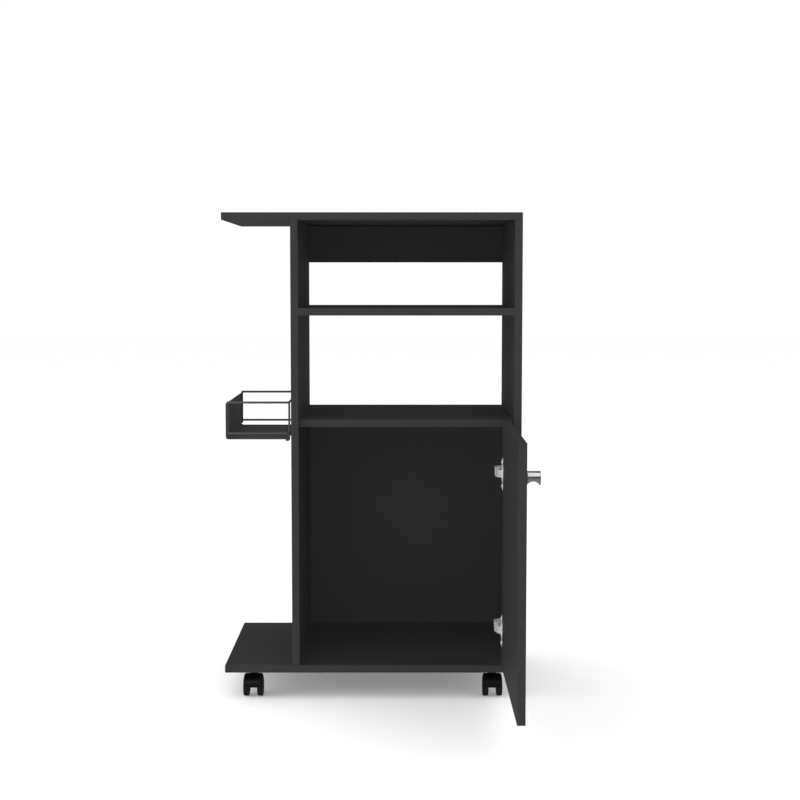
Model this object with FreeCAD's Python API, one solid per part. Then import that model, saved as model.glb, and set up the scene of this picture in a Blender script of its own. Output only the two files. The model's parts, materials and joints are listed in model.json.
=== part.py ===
import FreeCAD, Part
import os
from math import cos, radians, sin

from FreeCAD import Vector

# Kitchen cart on casters: melamine-faced boards, two open bays, a cabinet with one
# door on concealed hinges, and a metal basket on the left side panel.
# Layout coordinates: X from the left end of the top, Y from the front edges towards
# the back, Z up from the floor. The door is modelled open at a right angle.
# save() moves everything into the part's own frame (see ORIGIN).

# ---- driving dimensions (mm) ----

BOARD = 15.0
WIDTH = 600.0
DEPTH = 390.0
CASTER_HEIGHT = 56.0
CABINET_HEIGHT = 485.0
MIDDLE_BAY = 210.0
UPPER_BAY = 175.0
OVERHANG = 137.0
EASED_EDGE = 0.6
SHELF_SETBACK = 17.0
RAIL_HEIGHT = 80.0
HARDBOARD = 3.0

DOOR_GAP = 2.0
DOOR_AXIS_INSET = 3.65

DOWEL_RADIUS = 4.0
CAM_RADIUS = 7.5
CAM_DEPTH = 12.5
CAM_REACH = 24.0
BOLT_RADIUS = 2.5
SINK = 10.0

CUP_RADIUS = 17.5
CUP_DEPTH = 12.0
CUP_INSET = 22.0
CUP_WALL = 1.0
FLANGE = 1.2
HINGE_FROM_TOP = 105.0
HINGE_FROM_BOTTOM = 76.0

KNOB_RADIUS = 12.25
KNOB_LENGTH = 26.0
KNOB_FROM_TOP = 65.0
KNOB_FROM_EDGE = 35.0

WHEEL_RADIUS = 21.0
WHEEL_WIDTH = 11.6
WHEEL_GAP = 16.6
TRAIL = 16.0
CASTER_PLATE = 38.0
PLATE_THICKNESS = 2.0
CASTER_INSET_X = 55.0
CASTER_INSET_Y = 50.0
AXLE_RADIUS = 2.5
KINGPIN_RADIUS = 3.0
RUNNING_CLEARANCE = 0.05

WIRE_RADIUS = 2.2
UPRIGHT_RADIUS = 2.0
BASKET_LEFT = 4.6
BASKET_FRONT = 10.0
BASKET_LENGTH = 305.0
BASKET_FLOOR = 531.7
BASKET_TOP_WIRE = 606.0
BASKET_LOW_WIRE = 543.5
BASKET_BEND = 5.0
SHEET = 1.2
BRACKET = 2.6

# ---- derived levels and places ----

BASE_Z = CASTER_HEIGHT
FLOOR_Z = BASE_Z + BOARD
LOWER_SHELF_Z = FLOOR_Z + CABINET_HEIGHT
UPPER_SHELF_Z = LOWER_SHELF_Z + BOARD + MIDDLE_BAY
TOP_Z = UPPER_SHELF_Z + BOARD + UPPER_BAY
HEIGHT = TOP_Z + BOARD

LEFT_OUT = OVERHANG
LEFT_IN = OVERHANG + BOARD
RIGHT_IN = WIDTH - BOARD

DOOR_BOTTOM = FLOOR_Z + DOOR_GAP
DOOR_TOP = LOWER_SHELF_Z + BOARD
DOOR_WIDTH = RIGHT_IN - LEFT_IN - 2 * DOOR_GAP
# The door's effective axis, a vertical line: a quarter turn about it carries the
# shut door to its open place beside the opening.
AXIS_X = RIGHT_IN - DOOR_GAP - DOOR_AXIS_INSET
AXIS_Y = -DOOR_AXIS_INSET
DOOR_OUTER = AXIS_X - DOOR_AXIS_INSET
DOOR_INNER = DOOR_OUTER - BOARD
HINGE_LEVELS = {"upper": DOOR_TOP - HINGE_FROM_TOP, "lower": DOOR_BOTTOM + HINGE_FROM_BOTTOM}
KNOB_Y = KNOB_FROM_EDGE - DOOR_WIDTH
KNOB_Z = DOOR_TOP - KNOB_FROM_TOP

NAIL_HEAD = 0.8
BACK_Y = DEPTH + HARDBOARD + NAIL_HEAD
# The frame's origin: on the floor, below the middle of the overall box with the
# door open.
ORIGIN = Vector((DOOR_OUTER + KNOB_LENGTH) / 2, (BACK_Y - DOOR_WIDTH) / 2, 0)

X = Vector(1, 0, 0)
Y = Vector(0, 1, 0)
Z = Vector(0, 0, 1)

CAM_ROWS = (60.0, DEPTH - 60.0)
DOWEL_ROWS = (105.0, DEPTH - 105.0)
SIDE_MIDDLES = (LEFT_OUT + BOARD / 2, WIDTH - BOARD / 2)


def save(name, shape):
    """Write one node, moved from layout coordinates into the part's frame."""
    placed = shape.copy()
    placed.translate(-ORIGIN)
    placed.exportStep("parts/" + name + ".step")


def box(x0, x1, y0, y1, z0, z1):
    return Part.makeBox(x1 - x0, y1 - y0, z1 - z0, Vector(x0, y0, z0))


def rod(start, axis, length, radius):
    return Part.makeCylinder(radius, length, start, axis)


def board(x0, x1, y0, y1, z0, z1):
    """A board with slightly eased edges."""
    panel = box(x0, x1, y0, y1, z0, z1)
    return panel.makeFillet(EASED_EDGE, panel.Edges)


def round_edges(shape):
    return [edge for edge in shape.Edges if edge.Curve.TypeId == "Part::GeomCircle"]


def edges_along(shape, axis):
    """Straight edges that run along an axis."""
    return [edge for edge in shape.Edges if abs(edge.tangentAt(edge.FirstParameter).dot(axis)) > 0.9]


def prism(points, z0, z1):
    """Upright prism over a closed outline of (x, y) points."""
    corners = [Vector(x, y, z0) for x, y in points]
    face = Part.Face(Part.makePolygon(corners + corners[:1]))
    return face.extrude(Vector(0, 0, z1 - z0))


# ---- board joints ----
# A seat is the point where a fastener crosses the joint, at mid thickness. Its axis
# points into the board that takes the longer end (the cam's board).


def top_seats(rows):
    """Seats between top and side panels, with the side panel's inward direction."""
    inward = (X, -X)
    return [(Vector(x, y, TOP_Z), -Z, face) for x, face in zip(SIDE_MIDDLES, inward) for y in rows]


def shelf_seats(shelf_z, rows):
    """Seats between the side panels and a shelf; cams open on its underside."""
    ends = ((LEFT_IN, X), (RIGHT_IN, -X))
    return [(Vector(x, y, shelf_z + BOARD / 2), axis, -Z) for x, axis in ends for y in rows]


def rail_seats(level):
    """Seats between the side panels and the back rail; cams open at the rear."""
    ends = ((LEFT_IN, X), (RIGHT_IN, -X))
    return [(Vector(x, DEPTH - BOARD / 2, level), axis, Y) for x, axis in ends]


def base_seats(rows):
    """Seats between base and side panels."""
    return [(Vector(x, y, FLOOR_Z), Z, X) for x in SIDE_MIDDLES for y in rows]


RAIL_CAM_Z = TOP_Z - 22.0
RAIL_DOWEL_Z = TOP_Z - RAIL_HEIGHT + 20.0
CAM_SEATS = {
    "top": top_seats(CAM_ROWS),
    "upper": shelf_seats(UPPER_SHELF_Z, CAM_ROWS),
    "lower": shelf_seats(LOWER_SHELF_Z, CAM_ROWS),
    "rail": rail_seats(RAIL_CAM_Z),
}
DOWEL_SEATS = {
    "top": top_seats(DOWEL_ROWS),
    "upper": shelf_seats(UPPER_SHELF_Z, DOWEL_ROWS),
    "lower": shelf_seats(LOWER_SHELF_Z, DOWEL_ROWS),
    "rail": rail_seats(RAIL_DOWEL_Z),
    "base": base_seats(DOWEL_ROWS),
}
CONFIRMAT_LENGTH = 50.0
CONFIRMAT_RADIUS = 3.0
CONFIRMAT_HEAD = 5.0


def dowel(seat, axis, face):
    return rod(seat - axis * SINK, axis, 3 * SINK, DOWEL_RADIUS)


def cam_bolt(seat, axis, face):
    """Threaded end, shank and the round head that the cam pulls on."""
    thread = rod(seat - axis * SINK, axis, SINK, BOLT_RADIUS)
    shank = rod(seat, axis, CAM_REACH - 3, BOLT_RADIUS - 0.5)
    head = rod(seat + axis * (CAM_REACH - 4), axis, 7, BOLT_RADIUS + 0.8)
    return thread.fuse([shank, head]).removeSplitter()


def cam_bolt_way(seat, axis, face):
    return rod(seat, axis, CAM_REACH, DOWEL_RADIUS)


def cam_pocket(seat, axis, face):
    """Blind bore for a cam, open on the board's face."""
    mouth = seat + axis * CAM_REACH + face * (BOARD / 2)
    return rod(mouth, -face, CAM_DEPTH, CAM_RADIUS)


def cam_lock(seat, axis, face):
    """Zinc disc with the bolt's passage and a cross slot for the driver."""
    mouth = seat + axis * CAM_REACH + face * (BOARD / 2 - 1)
    disc = rod(mouth, -face, CAM_DEPTH - 1, CAM_RADIUS)
    passage = rod(seat + axis * (CAM_REACH - 10), axis, 14.5, BOLT_RADIUS + 1)
    across = axis.cross(face)
    slots = []
    for long_way, short_way in ((axis, across), (across, axis)):
        corner = mouth - long_way * 3.5 - short_way * 0.6 - face * 2
        outline = [
            corner,
            corner + long_way * 7,
            corner + long_way * 7 + short_way * 1.2,
            corner + short_way * 1.2,
            corner,
        ]
        slots.append(Part.Face(Part.makePolygon(outline)).extrude(face * 2.5))
    return disc.cut([passage] + slots)


def cam_cap(seat, axis, face):
    mouth = seat + axis * CAM_REACH + face * (BOARD / 2)
    return rod(mouth, -face, 0.9, CAM_RADIUS)


def confirmat(seat):
    """One-piece connector, driven up through the base; its head is sunk flush."""
    foot = Vector(seat.x, seat.y, BASE_Z)
    shank = rod(foot, Z, CONFIRMAT_LENGTH, CONFIRMAT_RADIUS)
    head = Part.makeCone(CONFIRMAT_HEAD, CONFIRMAT_RADIUS, 4, foot, Z)
    socket = rod(foot, Z, 3, 1.8)
    return shank.fuse(head).cut(socket)


def confirmat_way(seat):
    foot = Vector(seat.x, seat.y, BASE_Z)
    shank = rod(foot, Z, CONFIRMAT_LENGTH, CONFIRMAT_RADIUS)
    head = Part.makeCone(CONFIRMAT_HEAD, CONFIRMAT_RADIUS, 4, foot, Z)
    return shank.fuse(head)


CONFIRMAT_SEATS = [seat for seat, axis, face in base_seats(CAM_ROWS)]


def long_bores(joint):
    """Bores in the board that a joint's fasteners reach into."""
    bores = [dowel(*seat) for seat in DOWEL_SEATS[joint]]
    bores += [cam_bolt_way(*seat) for seat in CAM_SEATS[joint]]
    bores += [cam_pocket(*seat) for seat in CAM_SEATS[joint]]
    return bores


def bolt_bores(joint):
    """Bores in the board that a joint's bolts and dowels start from."""
    bores = [dowel(*seat) for seat in DOWEL_SEATS[joint]]
    bores += [rod(seat - axis * SINK, axis, SINK, BOLT_RADIUS) for seat, axis, face in CAM_SEATS[joint]]
    return bores


# ---- screws ----


def screw(head_seat, axis, length, radius, head_radius, head_height):
    """Pan-head screw: the head stands on head_seat, the shank goes along axis."""
    shank = rod(head_seat, axis, length, radius)
    head = rod(head_seat - axis * head_height, axis, head_height, head_radius)
    socket = rod(head_seat - axis * head_height, axis, head_height / 2, head_radius / 3)
    return shank.fuse(head).removeSplitter().cut(socket)


def screw_way(head_seat, axis, length, radius):
    return rod(head_seat, axis, length, radius)


# Head seat, direction and length of every screw, by where it goes.
CUP_SCREW_SPREAD = 24.0
CUP_SCREW_Y = -CUP_INSET - 6
PLATE_SCREW_SPREAD = 18.0
PLATE_Y = 64.0
ARM_BACK_X = 571.0
PLATE_FACE_X = RIGHT_IN - 2.0
RIDGE_X = RIGHT_IN - 4.0
ARM_SCREW_ROWS = ((78.0, 12.0), (60.0, 9.0))
SMALL_SCREW = 1.75
CASTER_PITCH = 28.0

CUP_SCREWS = [
    (Vector(DOOR_INNER - FLANGE, CUP_SCREW_Y, z + side * CUP_SCREW_SPREAD), X, 13.0)
    for z in HINGE_LEVELS.values()
    for side in (-1, 1)
]
PLATE_SCREWS = [
    (Vector(PLATE_FACE_X, PLATE_Y, z + side * PLATE_SCREW_SPREAD), X, 14.0)
    for z in HINGE_LEVELS.values()
    for side in (-1, 1)
]
ARM_SCREWS = [
    (Vector(ARM_BACK_X, y, z), X, length)
    for z in HINGE_LEVELS.values()
    for y, length in ARM_SCREW_ROWS
]
KNOB_SCREW = (Vector(DOOR_INNER, KNOB_Y, KNOB_Z), X, BOARD + 9)
KINGPIN_PLACES = {
    "front_left": Vector(CASTER_INSET_X, CASTER_INSET_Y, 0),
    "front_right": Vector(WIDTH - CASTER_INSET_X, CASTER_INSET_Y, 0),
    "back_left": Vector(CASTER_INSET_X, DEPTH - CASTER_INSET_Y, 0),
    "back_right": Vector(WIDTH - CASTER_INSET_X, DEPTH - CASTER_INSET_Y, 0),
}
CASTER_SCREWS = [
    (place + Vector(dx, dy, BASE_Z - PLATE_THICKNESS), Z, 15.0)
    for place in KINGPIN_PLACES.values()
    for dx in (-CASTER_PITCH / 2, CASTER_PITCH / 2)
    for dy in (-CASTER_PITCH / 2, CASTER_PITCH / 2)
]
BRACKET_X = LEFT_OUT - BRACKET
BRACKET_ROWS = (82.0, 245.0)
BRACKET_SCREW_LEVELS = (556.0, 594.0)
BASKET_SCREWS = [
    (Vector(BRACKET_X, y, z), X, BRACKET + 9)
    for y in BRACKET_ROWS
    for z in BRACKET_SCREW_LEVELS
]


def screw_ways(places, radius):
    return [screw_way(seat, axis, length, radius) for seat, axis, length in places]


# ---- boards ----


def top_panel():
    return board(0, WIDTH, 0, DEPTH, TOP_Z, HEIGHT).cut(bolt_bores("top"))


def side_panel(x0, x1, extra_bores):
    """One side panel, bored for the top, both shelves, the rail and the base."""
    bores = long_bores("top") + bolt_bores("upper") + bolt_bores("lower") + bolt_bores("rail")
    bores += [dowel(*seat) for seat in DOWEL_SEATS["base"]]
    bores += [confirmat_way(seat) for seat in CONFIRMAT_SEATS]
    return board(x0, x1, 0, DEPTH, FLOOR_Z, TOP_Z).cut(bores + nail_ways() + extra_bores)


def shelf(front, z, joint, extra_bores):
    panel = board(LEFT_IN, RIGHT_IN, front, DEPTH, z, z + BOARD)
    return panel.cut(long_bores(joint) + extra_bores)


def base_panel():
    bores = [dowel(*seat) for seat in DOWEL_SEATS["base"]]
    bores += [confirmat_way(seat) for seat in CONFIRMAT_SEATS]
    bores += screw_ways(CASTER_SCREWS, SMALL_SCREW) + nail_ways()
    return board(0, WIDTH, 0, DEPTH, BASE_Z, FLOOR_Z).cut(bores)


def back_rail():
    rail = board(LEFT_IN, RIGHT_IN, DEPTH - BOARD, DEPTH, TOP_Z - RAIL_HEIGHT, TOP_Z)
    return rail.cut(long_bores("rail"))


def back_panel():
    """Hardboard, nailed over the cabinet's rear edges."""
    sheet = box(LEFT_OUT + 1, WIDTH - 1, DEPTH, DEPTH + HARDBOARD, BASE_Z + 2, DOOR_TOP - 1)
    return sheet.cut(nail_ways())


def door_panel():
    """The door, open: bored for two hinge cups and the knob's screw."""
    panel = board(DOOR_INNER, DOOR_OUTER, -DOOR_WIDTH, 0, DOOR_BOTTOM, DOOR_TOP)
    bores = [rod(Vector(DOOR_INNER, -CUP_INSET, z), X, CUP_DEPTH, CUP_RADIUS) for z in HINGE_LEVELS.values()]
    bores += screw_ways(CUP_SCREWS, SMALL_SCREW)
    bores += screw_ways([KNOB_SCREW], 2.0)
    return panel.cut(bores)


# ---- nails of the hardboard back ----

NAIL_RADIUS = 0.7
NAIL_LENGTH = 14.0


def nail_places():
    """Points on the hardboard's rear face, along all four edges."""
    rear = DEPTH + HARDBOARD
    low = BASE_Z + BOARD / 2
    high = LOWER_SHELF_Z + BOARD / 2
    places = []
    for x in SIDE_MIDDLES:
        places += [Vector(x, rear, low + (high - low) * step / 5) for step in range(1, 5)]
    left, right = SIDE_MIDDLES
    for z in (low, high):
        places += [Vector(left + (right - left) * step / 5, rear, z) for step in range(1, 5)]
    return places


def nail(place):
    shank = rod(place, -Y, NAIL_LENGTH, NAIL_RADIUS)
    head = rod(place, Y, NAIL_HEAD, 2 * NAIL_RADIUS + 0.4)
    return shank.fuse(head).removeSplitter()


def nail_ways():
    return [rod(place, -Y, NAIL_LENGTH, NAIL_RADIUS) for place in nail_places()]


# ---- concealed hinges ----
# Every part of a hinge that passes another one stays in its own ring about the
# door's axis, so nothing meets while the door swings.

LINK_INNER = 24.5
LINK_OUTER = 29.8
LINK_START = 156.0
LINK_END = 234.0
LINK_HALF = 7.4
ARM_HALF = 9.2
ARM_WALL = 1.2
PIN_RADIUS = 1.5
PIN_RING = 27.0
PIN_ANGLE = LINK_END - 5.0


def around_axis(radius, degrees, z):
    """The point at a radius and angle about the door's axis."""
    return Vector(AXIS_X + radius * cos(radians(degrees)), AXIS_Y + radius * sin(radians(degrees)), z)


def hinge_cup(z):
    """Steel cup pressed into the door, with its screw flange."""
    centre = Vector(DOOR_INNER, -CUP_INSET, z)
    ring = rod(centre - X * FLANGE, X, FLANGE, CUP_RADIUS + 2.5)
    wing = box(DOOR_INNER - FLANGE, DOOR_INNER, -CUP_INSET - 12, -CUP_INSET, z - 32.25, z + 32.25)
    wing = wing.makeFillet(4, edges_along(wing, X))
    cup = rod(centre, X, CUP_DEPTH, CUP_RADIUS)
    hollow = rod(centre - X * FLANGE, X, CUP_DEPTH + FLANGE - CUP_WALL, CUP_RADIUS - CUP_WALL)
    return ring.fuse([wing, cup]).removeSplitter().cut([hollow] + screw_ways(CUP_SCREWS, SMALL_SCREW))


def hinge_arm(z):
    """Pressed channel: two cheeks and a back, cranked out to reach the inset door."""
    tip = 548.2
    outline = [
        (tip, 6),
        (tip, 38),
        (ARM_BACK_X, 52),
        (ARM_BACK_X, 88),
        (RIDGE_X, 88),
        (RIDGE_X, 40),
        (577, 28),
        (566, 17),
        (558, 6),
    ]
    hollow = [
        (tip + ARM_WALL, 5),
        (tip + ARM_WALL, 38 - ARM_WALL / 2),
        (ARM_BACK_X + ARM_WALL, 52 - ARM_WALL / 2),
        (ARM_BACK_X + ARM_WALL, 89),
        (RIGHT_IN, 89),
        (RIGHT_IN, 5),
    ]
    cheek_gap = ARM_HALF - ARM_WALL - 0.2
    channel = prism(outline, z - ARM_HALF, z + ARM_HALF)
    channel = channel.cut(prism(hollow, z - cheek_gap, z + cheek_gap))
    return channel.cut(screw_ways(ARM_SCREWS, SMALL_SCREW))


def hinge_plate(z):
    """Mounting plate: two screw wings and the ridge that the arm sits on."""
    wings = box(PLATE_FACE_X, RIGHT_IN, PLATE_Y - 10, PLATE_Y + 10, z - 26, z + 26)
    wings = wings.makeFillet(6, edges_along(wings, X))
    ridge = box(RIDGE_X, RIGHT_IN, 44, 90, z - ARM_HALF, z + ARM_HALF)
    ways = screw_ways(PLATE_SCREWS, SMALL_SCREW) + screw_ways(ARM_SCREWS, SMALL_SCREW)
    return wings.fuse(ridge).removeSplitter().cut(ways)


def hinge_link(z):
    """Curved link, an arc about the door's axis, with its pin's hole."""
    low = Vector(AXIS_X, AXIS_Y, z - LINK_HALF)
    spread = LINK_END - LINK_START
    outer = Part.makeCylinder(LINK_OUTER, 2 * LINK_HALF, low, Z, spread)
    inner = Part.makeCylinder(LINK_INNER, 2 * LINK_HALF, low, Z, spread)
    link = outer.cut(inner)
    link.rotate(low, Z, LINK_START)
    return link.cut(rod(around_axis(PIN_RING, PIN_ANGLE, z - LINK_HALF), Z, 2 * LINK_HALF, PIN_RADIUS))


def hinge_pin(z):
    half = LINK_HALF + 0.1
    return rod(around_axis(PIN_RING, PIN_ANGLE, z - half), Z, 2 * half, PIN_RADIUS)


# ---- knob ----


def knob():
    """Round knob with a finger scoop cut across its underside."""
    foot = Vector(DOOR_OUTER, KNOB_Y, KNOB_Z)
    body = rod(foot, X, KNOB_LENGTH, KNOB_RADIUS)
    rim = [edge for edge in body.Edges if edge.BoundBox.XMin > DOOR_OUTER + KNOB_LENGTH - 0.1]
    body = body.makeFillet(0.8, rim)
    scoop_radius = 12.0
    scoop_height = 7.4
    scoop_z = KNOB_Z - KNOB_RADIUS + scoop_height - scoop_radius
    scoop = rod(Vector(DOOR_OUTER + 12.8, KNOB_Y - 20, scoop_z), Y, 40, scoop_radius)
    return body.cut([scoop] + screw_ways([KNOB_SCREW], 2.0))


# ---- casters ----

AXLE_Z = WHEEL_RADIUS
HOOD_CLEARANCE = 1.2
HOOD_SHELL = 2.8
HOOD_HALF = WHEEL_GAP / 2 + WHEEL_WIDTH - 1.0
WEB_HALF = WHEEL_GAP / 2 - 0.5
HOOD_BOTTOM = 24.0
AXLE_BOSS_RADIUS = 5.0
BOSS_RADIUS = 9.0
SWIVEL_GAP = 0.3
PIN_HEAD_Z = 36.0
PIN_HEAD = 2.0


def caster_plate(place):
    """Square steel plate, pierced for four screws and the kingpin."""
    half = CASTER_PLATE / 2
    low = BASE_Z - PLATE_THICKNESS
    plate = box(place.x - half, place.x + half, place.y - half, place.y + half, low, BASE_Z)
    plate = plate.makeFillet(5, edges_along(plate, Z))
    kingpin_way = rod(place + Z * low, Z, PLATE_THICKNESS, KINGPIN_RADIUS)
    return plate.cut([kingpin_way] + screw_ways(CASTER_SCREWS, SMALL_SCREW))


def caster_kingpin(place):
    """Swivel rivet, fixed in the plate, with its head below the hood's boss."""
    shank = rod(place + Z * PIN_HEAD_Z, Z, BASE_Z - PIN_HEAD_Z, KINGPIN_RADIUS)
    head = rod(place + Z * PIN_HEAD_Z, Z, PIN_HEAD, KINGPIN_RADIUS + 1.6)
    return shank.fuse(head).removeSplitter()


def axle_point(place, x):
    return Vector(place.x + x, place.y - TRAIL, AXLE_Z)


def caster_hood(place):
    """Swivelling body: fenders over both wheels, a web, and bosses for pin and axle."""
    outer_radius = WHEEL_RADIUS + HOOD_CLEARANCE + HOOD_SHELL
    fender = rod(axle_point(place, -HOOD_HALF), X, 2 * HOOD_HALF, outer_radius)
    fender = fender.makeFillet(3.5, round_edges(fender))
    top = BASE_Z - PLATE_THICKNESS - SWIVEL_GAP
    boss = rod(place + Z * 30, Z, top - 30, BOSS_RADIUS)
    body = fender.fuse(boss)
    wheel_room = []
    for side in (-1, 1):
        start = axle_point(place, side * WEB_HALF)
        wheel_room.append(rod(start, X * side, 2 * HOOD_HALF, WHEEL_RADIUS + HOOD_CLEARANCE))
    below = box(place.x - 30, place.x + 30, place.y - 60, place.y + 60, -10, HOOD_BOTTOM)
    axle_boss = rod(axle_point(place, -WEB_HALF), X, 2 * WEB_HALF, AXLE_BOSS_RADIUS)
    swivel_way = rod(place + Z * PIN_HEAD_Z, Z, 30, KINGPIN_RADIUS + RUNNING_CLEARANCE)
    head_room = rod(place, Z, PIN_HEAD_Z + PIN_HEAD + SWIVEL_GAP, KINGPIN_RADIUS + 2.2)
    axle_way = rod(axle_point(place, -HOOD_HALF), X, 2 * HOOD_HALF, AXLE_RADIUS)
    shell = body.cut(wheel_room + [below]).fuse(axle_boss)
    return shell.cut([swivel_way, head_room, axle_way]).removeSplitter()


AXLE_HALF = WHEEL_GAP / 2 + WHEEL_WIDTH - 2.5


def caster_axle(place):
    return rod(axle_point(place, -AXLE_HALF), X, 2 * AXLE_HALF, AXLE_RADIUS)


def caster_wheel(place, side):
    """One wheel: rounded tread, hollow inner face round a hub, blind bore."""
    inner = axle_point(place, side * WHEEL_GAP / 2)
    axis = X * side
    wheel = rod(inner, axis, WHEEL_WIDTH, WHEEL_RADIUS)
    wheel = wheel.makeFillet(2.5, round_edges(wheel))
    dish = rod(inner, axis, 6, WHEEL_RADIUS - 4)
    hub = rod(inner, axis, 6, AXLE_RADIUS + 3.5)
    face_ring = rod(inner + axis * (WHEEL_WIDTH - 1), axis, 1, WHEEL_RADIUS - 5)
    face_cap = rod(inner + axis * (WHEEL_WIDTH - 1), axis, 1, WHEEL_RADIUS - 6.5)
    bore = rod(inner, axis, WHEEL_WIDTH - 2.2, AXLE_RADIUS + RUNNING_CLEARANCE)
    return wheel.cut([dish.cut(hub), face_ring.cut(face_cap), bore])


# ---- side basket ----

BASKET_BACK = BASKET_FRONT + BASKET_LENGTH
INNER_WIRE_X = BRACKET_X - WIRE_RADIUS
OUTER_WIRE_X = BASKET_LEFT + SHEET + WIRE_RADIUS
RING_FRONT = BASKET_FRONT + WIRE_RADIUS
RING_BACK = BASKET_BACK - WIRE_RADIUS
RING_CORNER = 6.0
UPRIGHT_ROWS = (RING_FRONT + RING_CORNER, RING_BACK - RING_CORNER)


def basket_ring(z):
    """Closed wire ring with rounded corners, lying level."""
    corners = [
        Vector(OUTER_WIRE_X, RING_FRONT, z),
        Vector(INNER_WIRE_X, RING_FRONT, z),
        Vector(INNER_WIRE_X, RING_BACK, z),
        Vector(OUTER_WIRE_X, RING_BACK, z),
    ]
    path = []
    for index, corner in enumerate(corners):
        following = corners[(index + 1) % 4]
        arriving = (corners[index - 1] - corner).normalize() * RING_CORNER
        leaving = (following - corner).normalize() * RING_CORNER
        middle = corner + (arriving + leaving) * (1 - cos(radians(45)))
        path.append(Part.Arc(corner + arriving, middle, corner + leaving).toShape())
        path.append(Part.makeLine(corner + leaving, following - leaving))
    section = Part.Wire(Part.makeCircle(WIRE_RADIUS, path[0].Vertexes[0].Point, Y))
    return Part.Wire(path).makePipeShell([section], True, False)


def basket_frame():
    """Two rings, four uprights, and a hook below each inner upright."""
    hook_radius = UPRIGHT_RADIUS - 0.2
    hook_z = BASKET_FLOOR - hook_radius
    foot_z = BASKET_FLOOR - 2 * UPRIGHT_RADIUS
    outer_foot_z = BASKET_FLOOR + BASKET_BEND + SHEET
    outer_x = BASKET_LEFT + SHEET + UPRIGHT_RADIUS
    pieces = [basket_ring(BASKET_LOW_WIRE)]
    for y in UPRIGHT_ROWS:
        outer_foot = Vector(outer_x, y, outer_foot_z)
        inner_foot = Vector(INNER_WIRE_X, y, foot_z)
        hook_start = Vector(INNER_WIRE_X, y, hook_z)
        pieces.append(rod(outer_foot, Z, BASKET_TOP_WIRE - outer_foot_z, UPRIGHT_RADIUS))
        pieces.append(rod(inner_foot, Z, BASKET_TOP_WIRE - foot_z, UPRIGHT_RADIUS))
        pieces.append(rod(hook_start, -X, 7, hook_radius))
    return basket_ring(BASKET_TOP_WIRE).fuse(pieces).removeSplitter()


def basket_tray():
    """Sheet floor and outer wall with a rounded bend between them."""
    wall_top = BASKET_TOP_WIRE - WIRE_RADIUS
    floor_edge = INNER_WIRE_X - UPRIGHT_RADIUS
    length = BASKET_BACK - BASKET_FRONT
    bend_x = BASKET_LEFT + BASKET_BEND
    bend_z = BASKET_FLOOR + BASKET_BEND
    wall = box(BASKET_LEFT, BASKET_LEFT + SHEET, BASKET_FRONT, BASKET_BACK, bend_z, wall_top)
    floor = box(bend_x, floor_edge, BASKET_FRONT, BASKET_BACK, BASKET_FLOOR, BASKET_FLOOR + SHEET)
    centre = Vector(bend_x, BASKET_FRONT, bend_z)
    bend = rod(centre, Y, length, BASKET_BEND).cut(rod(centre, Y, length, BASKET_BEND - SHEET))
    corner = box(BASKET_LEFT, bend_x, BASKET_FRONT, BASKET_BACK, BASKET_FLOOR, bend_z)
    return wall.fuse([floor, bend.common(corner)]).removeSplitter()


def basket_bracket(y):
    """Flat strip behind the frame, pierced for two screws."""
    low = BASKET_LOW_WIRE - WIRE_RADIUS
    high = BASKET_TOP_WIRE + WIRE_RADIUS
    strip = box(BRACKET_X, LEFT_OUT, y - 7, y + 7, low, high)
    return strip.cut(screw_ways(BASKET_SCREWS, SMALL_SCREW))


# ---- nodes ----


def group(solids):
    return Part.makeCompound(list(solids))


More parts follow.
